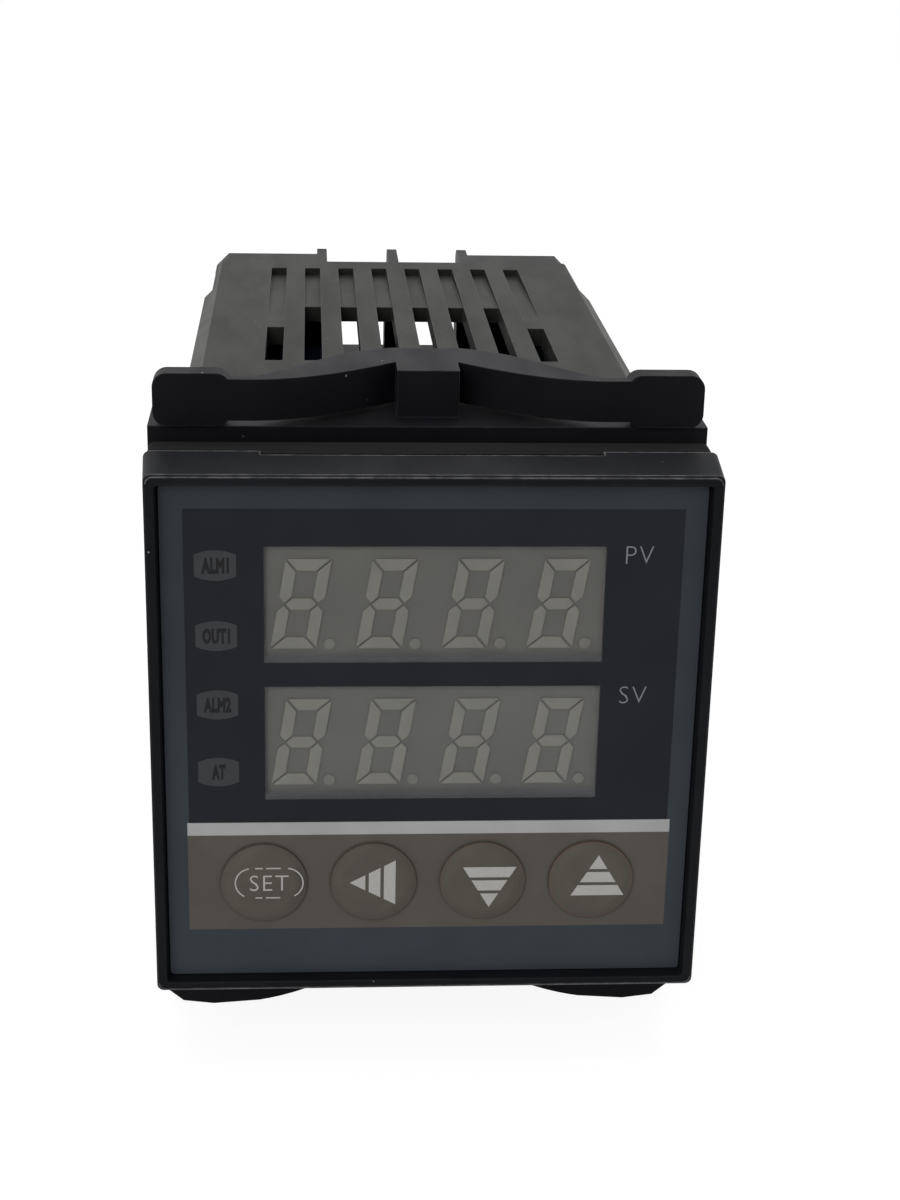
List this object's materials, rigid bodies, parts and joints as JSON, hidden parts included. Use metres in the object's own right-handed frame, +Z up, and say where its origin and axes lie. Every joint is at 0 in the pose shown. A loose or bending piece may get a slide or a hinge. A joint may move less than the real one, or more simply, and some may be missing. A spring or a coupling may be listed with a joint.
{
  "type": "pid temperature controller",
  "caption": "Square panel-mounting temperature controller: slide-in chassis with numeric displays and round keys, vented case, rear screw terminals and a sprung mounting bracket.",
  "frame": {"origin": "centre of the panel seat, the plane of the collar's rear face", "axes": "+X right seen from the front, +Y back into the panel, +Z up"},
  "size_m": [0.048, 0.102, 0.0606],
  "materials": {
    "case_abs": "fine satin moulding",
    "bracket_abs": "fine satin moulding",
    "bezel_abs": "satin moulding",
    "printed_film": "printed film, semi-gloss",
    "key_film": "embossed film, semi-gloss",
    "display_grey": "matt",
    "segment_epoxy": "translucent epoxy, unlit",
    "switch_black": "matt",
    "green_board": "solder mask",
    "chip_black": "moulded epoxy",
    "contact_brass": "plain",
    "zinc_steel": "zinc plated",
    "ferrite": "sintered",
    "winding_tape": "polyester tape",
    "capacitor_sleeve": "shrunk sleeve",
    "capacitor_film": "moulded box",
    "relay_blue": "moulded cover",
    "can_metal": "bright can"
  },
  "bodies": {
    "case": {"case": "case_abs", "terminal_base": "case_abs", "terminal_contacts": "contact_brass", "terminal_washers": "zinc_steel", "terminal_screws": "zinc_steel"},
    "bracket": {"mounting_bracket": "bracket_abs"},
    "chassis": {"bezel": "bezel_abs", "front_film": "printed_film", "upper_display": "display_grey", "upper_segments": "segment_epoxy", "lower_display": "display_grey", "lower_segments": "segment_epoxy", "indicator_lamps": "segment_epoxy", "switch_bodies": "switch_black", "display_board": "green_board", "segment_drivers": "chip_black", "board_headers": "chip_black", "power_board": "green_board", "transformer_core": "ferrite", "transformer_bobbin": "switch_black", "transformer_winding": "winding_tape", "supply_capacitors": "capacitor_sleeve", "bridge_rectifier": "chip_black", "voltage_regulator": "chip_black", "film_capacitor": "capacitor_film", "output_relay": "relay_blue", "control_board": "green_board", "microcontroller": "chip_black", "input_converter": "chip_black", "memory_chip": "chip_black", "crystal": "can_metal", "alarm_relays": "relay_blue"},
    "set_key": {"set_key": "key_film", "set_plunger": "switch_black"},
    "shift_key": {"shift_key": "key_film", "shift_plunger": "switch_black"},
    "down_key": {"down_key": "key_film", "down_plunger": "switch_black"},
    "up_key": {"up_key": "key_film", "up_plunger": "switch_black"}
  },
  "joints": [
    {"name": "chassis_slide", "type": "slide", "parent": "case", "child": "chassis", "axis": [0, -1, 0], "range_m": [0, 0.09]},
    {"name": "bracket_slide", "type": "slide", "parent": "case", "child": "bracket", "axis": [0, 1, 0], "range_m": [-0.002, 0.1]},
    {"name": "set_key_press", "type": "slide", "parent": "chassis", "child": "set_key", "axis": [0, 1, 0], "range_m": [0, 0.0003], "stiffness_N_per_m": 2000},
    {"name": "shift_key_press", "type": "slide", "parent": "chassis", "child": "shift_key", "axis": [0, 1, 0], "range_m": [0, 0.0003], "stiffness_N_per_m": 2000},
    {"name": "down_key_press", "type": "slide", "parent": "chassis", "child": "down_key", "axis": [0, 1, 0], "range_m": [0, 0.0003], "stiffness_N_per_m": 2000},
    {"name": "up_key_press", "type": "slide", "parent": "chassis", "child": "up_key", "axis": [0, 1, 0], "range_m": [0, 0.0003], "stiffness_N_per_m": 2000}
  ]
}
